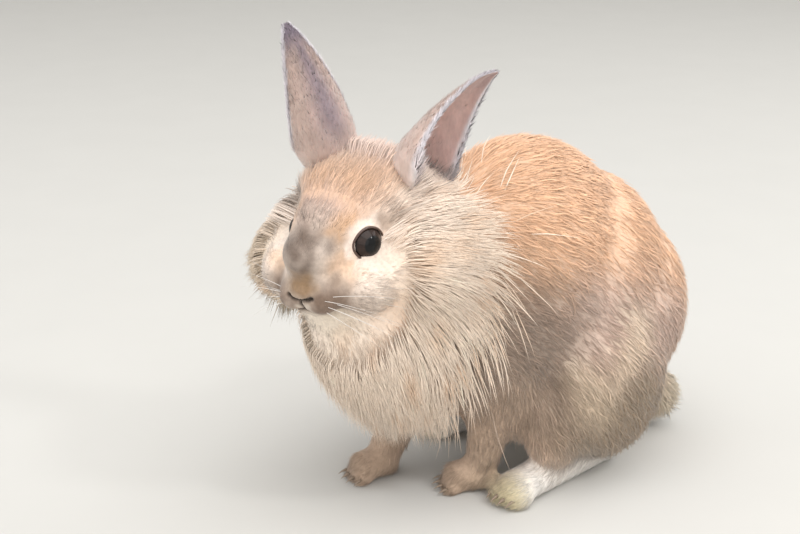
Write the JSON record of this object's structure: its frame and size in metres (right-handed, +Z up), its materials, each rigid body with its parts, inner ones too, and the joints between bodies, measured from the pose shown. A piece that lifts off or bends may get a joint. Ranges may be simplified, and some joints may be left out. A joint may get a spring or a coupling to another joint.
{
  "type": "lionhead rabbit",
  "caption": "Young long-haired fawn rabbit standing still with its head turned to its left, upright ears, a full mane round the cheeks and chest, and a short tail",
  "frame": {"origin": "On the floor, under the middle of the whole rabbit's box", "axes": "+Z is up, the body faces -Y with the head turned towards +X, and +X is the rabbit's own left side"},
  "size_m": [0.1232, 0.2348, 0.2255],
  "materials": {
    "coat_fawn": "soft fur",
    "coat_bib": "soft fur",
    "coat_face": "soft fur",
    "coat_tail": "soft fur",
    "coat_ear_left": "soft fur",
    "coat_ear_right": "soft fur",
    "coat_foreleg_left": "soft fur",
    "coat_foreleg_right": "soft fur",
    "coat_forepaw_left": "soft fur",
    "coat_forepaw_right": "soft fur",
    "coat_thigh_left": "soft fur",
    "coat_thigh_right": "soft fur",
    "coat_hind_foot_left": "soft fur",
    "coat_hind_foot_right": "soft fur",
    "eye_left_gloss": "wet gloss",
    "eye_right_gloss": "wet gloss"
  },
  "bodies": {
    "root": {"torso": "coat_fawn", "neck": "coat_bib", "head": "coat_face", "tail": "coat_tail", "ear_left": "coat_ear_left", "ear_right": "coat_ear_right", "foreleg_left": "coat_foreleg_left", "foreleg_right": "coat_foreleg_right", "forepaw_left": "coat_forepaw_left", "forepaw_right": "coat_forepaw_right", "thigh_left": "coat_thigh_left", "thigh_right": "coat_thigh_right", "hind_foot_left": "coat_hind_foot_left", "hind_foot_right": "coat_hind_foot_right", "eye_left": "eye_left_gloss", "eye_right": "eye_right_gloss"}
  },
  "joints": []
}
